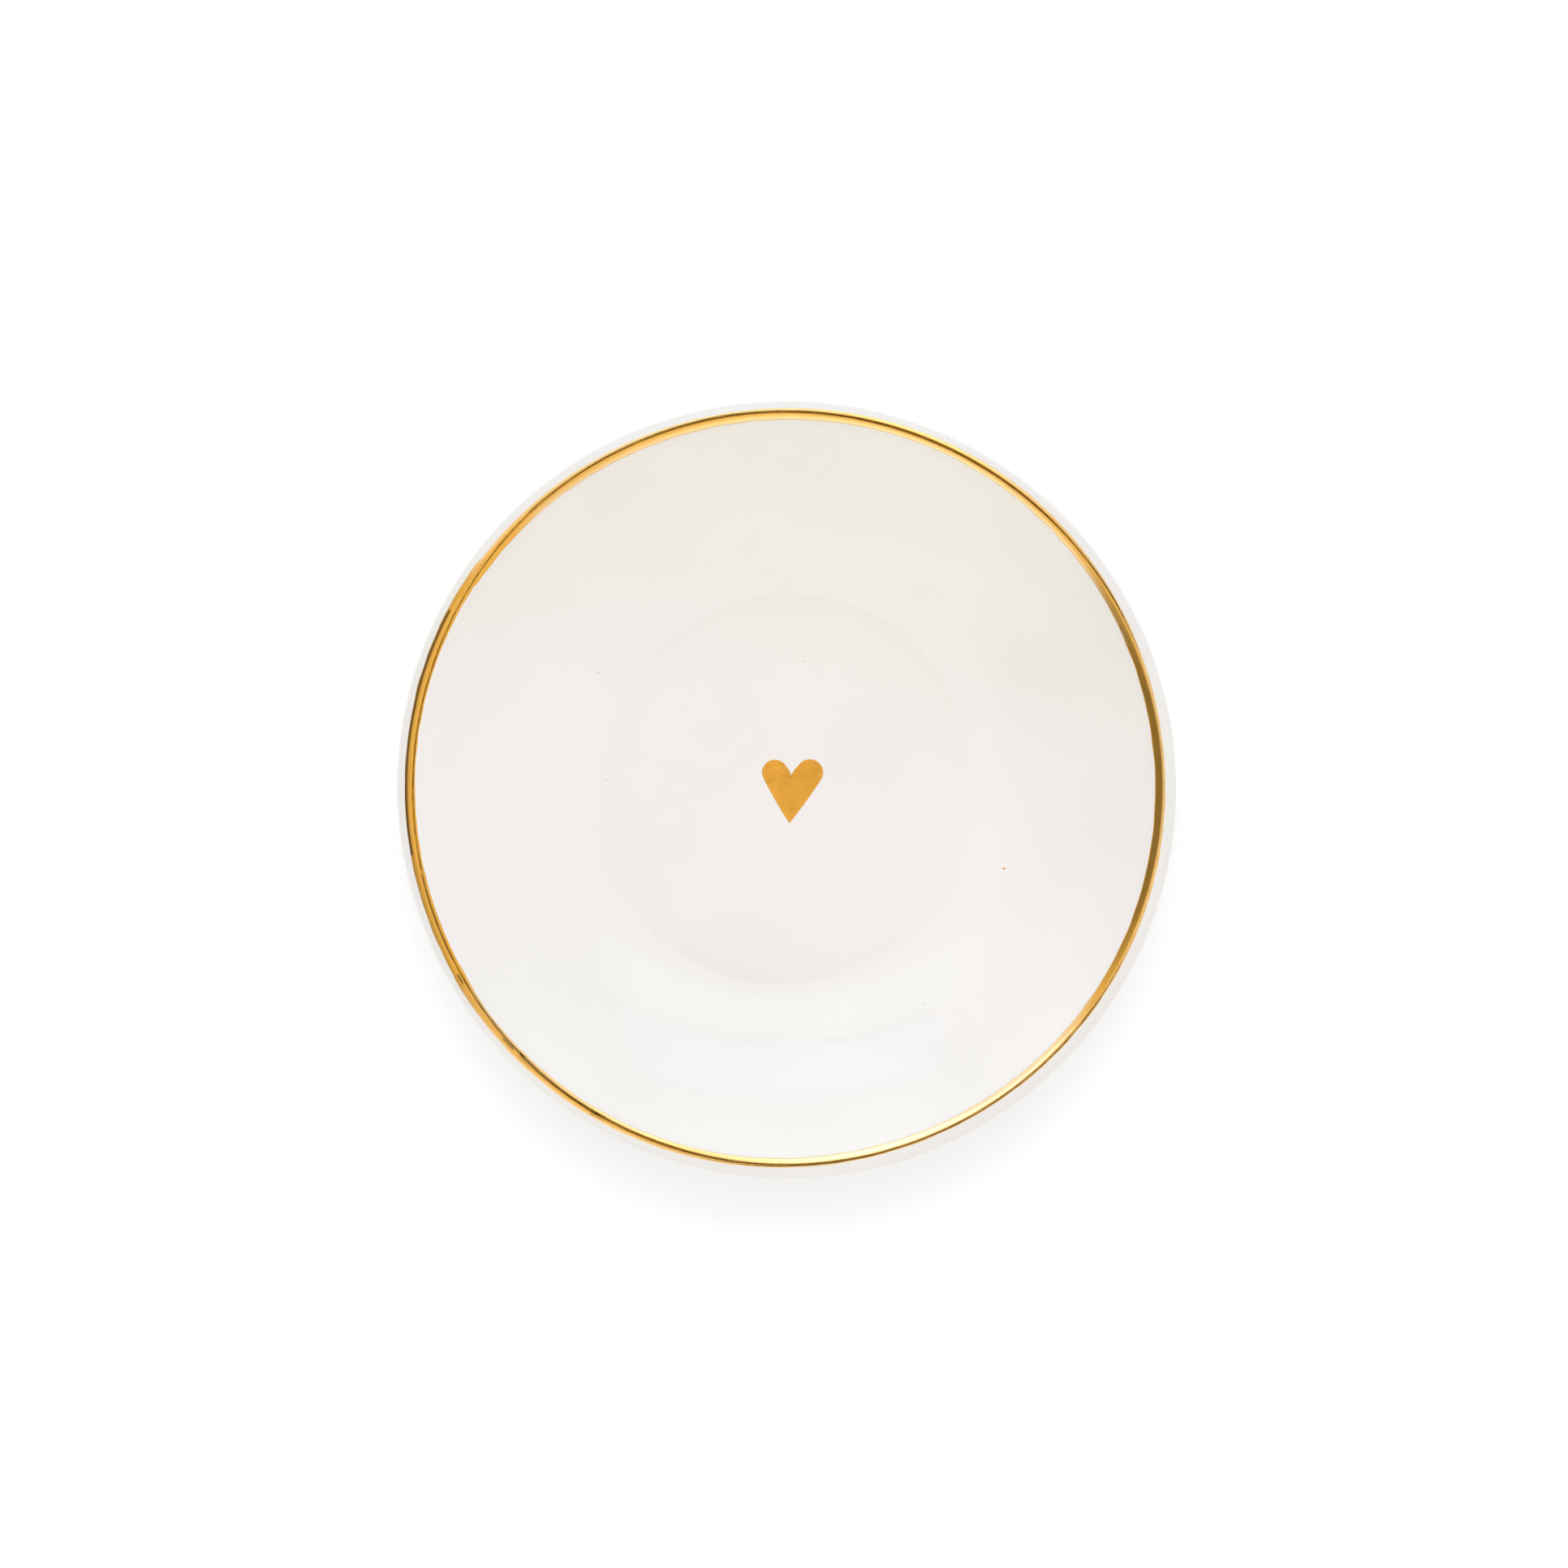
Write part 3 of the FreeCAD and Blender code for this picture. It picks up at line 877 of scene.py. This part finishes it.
def heart_outline():
    """The heart's outline, anticlockwise from the notch over the left lobe to the tip and back."""
    def arc(lobe, start, end, count):
        x, y, radius = lobe
        angles = np.radians(np.linspace(start, end, count, endpoint=False))
        return np.stack([x + radius * np.cos(angles), y + radius * np.sin(angles)], 1)

    def side(start, end, count):
        steps = np.linspace(0, 1, count, endpoint=False)[:, None]
        start, end = np.array(start), np.array(end)
        along = (end - start) / np.linalg.norm(end - start)
        outward = np.array([along[1], -along[0]])
        return start + steps * (end - start) + outward * SIDE_BULGE * 4 * steps * (1 - steps)

    left = arc(LEFT_LOBE, LOBE_NOTCH_ANGLE, 180 + LOBE_SIDE_ANGLE, 90)
    right = arc(RIGHT_LOBE, -LOBE_SIDE_ANGLE, 180 - LOBE_NOTCH_ANGLE, 90)
    left_end = arc(LEFT_LOBE, 180 + LOBE_SIDE_ANGLE, 360, 1)[0]
    right_end = arc(RIGHT_LOBE, 180 - LOBE_NOTCH_ANGLE, 360, 1)[0]
    return np.vstack([
        side(HEART_NOTCH, left[0], 14),
        left,
        side(left_end, HEART_TIP, 70),
        side(HEART_TIP, right[0], 70),
        right,
        side(right_end, HEART_NOTCH, 14),
    ])


def build_heart():
    outline = heart_outline()
    middle = np.array(HEART_MIDDLE)
    spokes = outline - middle
    angle = np.arctan2(spokes[:, 1], spokes[:, 0])
    rng = np.random.default_rng(5)
    length = np.linalg.norm(spokes, axis=1)
    spokes *= (1 + edge_wobble(angle, rng, HEART_WOBBLE) / length)[:, None]
    shares = 1 - (1 - np.linspace(0, 1, HEART_RINGS)) ** HEART_CROWDING
    shares[0] = HEART_INNERMOST_RING
    x = middle[0] + shares[:, None] * spokes[:, 0]
    y = middle[1] + shares[:, None] * spokes[:, 1]
    from_edge = (1 - shares)[:, None] * length[None, :]
    lift = GOLD_LIFT * np.clip(from_edge / HEART_EDGE_RISE, 0, 1) ** 0.5
    lift += GOLD_BEAD * np.exp(-(((from_edge - HEART_BEAD_PLACE) / HEART_BEAD_SPREAD) ** 2))
    points, faces = skin(x, y, lift, True)
    heart = facing(new_object("gold_heart_painted", points, faces))
    dress(heart, HEART_GOLD, "fired_gold", "gold_heart")


# The fleck is a disc that is this much longer than broad, this much three-cornered, and turned by this
# many radians.
FLECK_PLACE = (31.3, -11.4)
FLECK_RADIUS = 0.17
FLECK_LENGTHENING = 0.18
FLECK_CORNERS = 0.08
FLECK_TURN = 0.6
FLECK_STEPS = 24


def build_fleck():
    """A fleck of gold that the brush let fall on the wall."""
    azimuth = np.linspace(0, 2 * math.pi, FLECK_STEPS, endpoint=False)
    shares = np.linspace(0.02, 1, 8)
    lengthening = FLECK_LENGTHENING * np.cos(2 * azimuth + FLECK_TURN)
    reach = FLECK_RADIUS * (1 + lengthening + FLECK_CORNERS * np.cos(3 * azimuth))
    x = FLECK_PLACE[0] + shares[:, None] * reach * np.cos(azimuth)
    y = FLECK_PLACE[1] + shares[:, None] * reach * np.sin(azimuth)
    lift = GOLD_LIFT * np.sqrt(np.clip(1 - shares[:, None] ** 2, 0, 1)) * np.ones(len(azimuth))
    points, faces = skin(x, y, lift, True)
    fleck = facing(new_object("gold_fleck", points, faces))
    dress(fleck, HEART_GOLD, "fired_gold")


build_glaze_coat()
build_recess_glaze()
build_clay_body()
for stroke_index, stroke in enumerate(STROKES, 1):
    build_stroke(stroke_index, *stroke)
build_heart()
build_fleck()


# ---------------------------------------------------------------- floor, light and camera

FLOOR_SIZE = 8.0
FRAME_WIDTH = 0.22120
LENS = 100.0
SENSOR = 36.0
CAMERA_SHIFT = (-0.36 * MM, 0.75 * MM)


def build_floor():
    """A white card on a table."""
    half = FLOOR_SIZE / 2
    mesh = bpy.data.meshes.new("floor")
    corners = [(-half, -half, 0), (half, -half, 0), (half, half, 0), (-half, half, 0)]
    mesh.from_pydata(corners, [], [(0, 1, 2, 3)])
    floor = bpy.data.objects.new("floor", mesh)
    bpy.context.scene.collection.objects.link(floor)
    made, tree, shader = material("white_card")
    tone = object_noise(tree, 3, 2.0)
    colour = ramp(tree, tone, [(0.3, (0.924, 0.930, 0.937)), (0.7, (0.934, 0.940, 0.947))])
    tree.links.new(colour, shader.inputs["Base Color"])
    shader.inputs["Roughness"].default_value = 0.9
    shader.inputs["Specular IOR Level"].default_value = 0.0
    floor.data.materials.append(made)


# What the dish sees of the room. Round patches of sky have the zenith angle and azimuth of their middle
# and the angles from there at which they start and stop fading. The dark ones are flags: they show in
# reflections and take no light away.
ROOM_COLOUR = (1.075, 1.062, 1.048)
HORIZON_COLOUR = (1.26, 1.245, 1.22)
BRIGHT_WALL = (62, 258, 12, 42, (1.44, 1.395, 1.34))
DARK_FLAGS = [
    (80, 182, 16, 42, (0.31, 0.32, 0.34)),
    (48, 182, 4, 32, (0.31, 0.32, 0.34)),
    (0, 0, 1, 8, (0.20, 0.165, 0.07)),
    (7, 75, 1, 8, (0.20, 0.165, 0.07)),
    (7, 255, 1, 8, (0.20, 0.165, 0.07)),
]

# The panes of a tall north window, with narrow bars between them. Each has its zenith angle and azimuth,
# its half width and half height as shares of its distance, and the light that it adds.
WINDOW_PANES = [
    (28, 90, 0.46, 0.145, (0.56, 0.80, 0.70)),
    (50, 90, 0.40, 0.180, (0.55, 0.75, 1.15)),
    (75, 90, 0.40, 0.240, (0.42, 0.45, 0.42)),
]
PANE_SOFTNESS = (0.16, 0.02)

SOFTBOX_ZENITH = 32
SOFTBOX_DISTANCE = 1.5
SOFTBOX_SIZE = 0.6
SOFTBOX_POWER = 1.7
SOFTBOX_COLOUR = (1.0, 0.97, 0.94)


def sky_patch(tree, zenith, azimuth, inner, outer):
    """1 in a round patch of sky, fading to 0 round it."""
    where = tree.nodes.new("ShaderNodeTexCoord")
    towards = (sine(zenith) * cosine(azimuth), sine(zenith) * sine(azimuth), cosine(zenith))
    dot = add(tree, "ShaderNodeVectorMath", operation="DOT_PRODUCT")
    tree.links.new(where.outputs["Generated"], dot.inputs[0])
    dot.inputs[1].default_value = towards
    mask = add(tree, "ShaderNodeMapRange", interpolation_type="SMOOTHSTEP")
    tree.links.new(dot.outputs["Value"], mask.inputs["Value"])
    mask.inputs["From Min"].default_value = cosine(outer)
    mask.inputs["From Max"].default_value = cosine(inner)
    return mask.outputs["Result"]


def pane_side(tree, along, ahead, half, softness):
    """1 where a direction is within half of the pane's middle one way, and 0 past its soft edge."""
    share = add(tree, "ShaderNodeMath", operation="DIVIDE")
    tree.links.new(along, share.inputs[0])
    tree.links.new(ahead, share.inputs[1])
    either_way = add(tree, "ShaderNodeMath", operation="ABSOLUTE")
    tree.links.new(share.outputs["Value"], either_way.inputs[0])
    mask = add(tree, "ShaderNodeMapRange", interpolation_type="SMOOTHSTEP")
    tree.links.new(either_way.outputs["Value"], mask.inputs["Value"])
    mask.inputs["From Min"].default_value = half + softness
    mask.inputs["From Max"].default_value = half - softness
    return mask.outputs["Result"]


def window_pane(tree, zenith, azimuth, half_width, half_height):
    """1 in a rectangle that faces the dish, with soft edges. It also shows in the opposite direction,
    which is below the floor."""
    where = tree.nodes.new("ShaderNodeTexCoord")
    turned_to = add(tree, "ShaderNodeMapping", vector_type="TEXTURE")
    turned_to.inputs["Rotation"].default_value = (math.radians(zenith), 0, math.radians(azimuth + 90))
    tree.links.new(where.outputs["Generated"], turned_to.inputs["Vector"])
    split = tree.nodes.new("ShaderNodeSeparateXYZ")
    tree.links.new(turned_to.outputs["Vector"], split.inputs[0])
    side_softness, top_softness = PANE_SOFTNESS
    across = pane_side(tree, split.outputs["X"], split.outputs["Z"], half_width, side_softness)
    up = pane_side(tree, split.outputs["Y"], split.outputs["Z"], half_height, top_softness)
    return mixed(tree, 1.0, across, up, "MULTIPLY")


def build_world():
    world = bpy.data.worlds.new("studio")
    world.use_nodes = True
    bpy.context.scene.world = world
    tree = world.node_tree
    where = tree.nodes.new("ShaderNodeTexCoord")
    split = tree.nodes.new("ShaderNodeSeparateXYZ")
    tree.links.new(where.outputs["Generated"], split.inputs[0])
    upward = ramp(tree, split.outputs["Z"], [(0.08, 0.0), (0.35, 1.0)])
    plain = mixed(tree, upward, HORIZON_COLOUR, ROOM_COLOUR)
    *place, wall_colour = BRIGHT_WALL
    plain = mixed(tree, sky_patch(tree, *place), plain, wall_colour)
    for *place, pane_light in WINDOW_PANES:
        plain = mixed(tree, window_pane(tree, *place), plain, pane_light, "ADD")
    flagged = plain
    for *place, flag_colour in DARK_FLAGS:
        flagged = mixed(tree, sky_patch(tree, *place), flagged, flag_colour)
    mirrored = tree.nodes.new("ShaderNodeLightPath").outputs["Is Glossy Ray"]
    seen = mixed(tree, mirrored, plain, flagged)
    tree.links.new(seen, tree.nodes["Background"].inputs["Color"])


def build_softbox():
    """A soft lamp beside the window. It throws the soft shadow, and its reflection is left out."""
    lamp = bpy.data.lights.new("softbox", "AREA")
    lamp.size = SOFTBOX_SIZE
    lamp.energy = SOFTBOX_POWER
    lamp.color = SOFTBOX_COLOUR
    obj = bpy.data.objects.new("softbox", lamp)
    obj.location = (0, SOFTBOX_DISTANCE * sine(SOFTBOX_ZENITH), SOFTBOX_DISTANCE * cosine(SOFTBOX_ZENITH))
    obj.rotation_euler = (math.radians(-SOFTBOX_ZENITH), 0, 0)
    obj.visible_glossy = False
    bpy.context.scene.collection.objects.link(obj)


def build_camera():
    camera = bpy.data.cameras.new("overhead")
    camera.lens = LENS
    camera.sensor_width = SENSOR
    obj = bpy.data.objects.new("overhead", camera)
    bpy.context.scene.collection.objects.link(obj)
    height = RIM_TOP * MM + FRAME_WIDTH * LENS / SENSOR
    obj.location = (*CAMERA_SHIFT, height)
    bpy.context.scene.camera = obj


build_floor()
build_world()
build_softbox()
build_camera()
bpy.context.scene.view_settings.view_transform = "Standard"
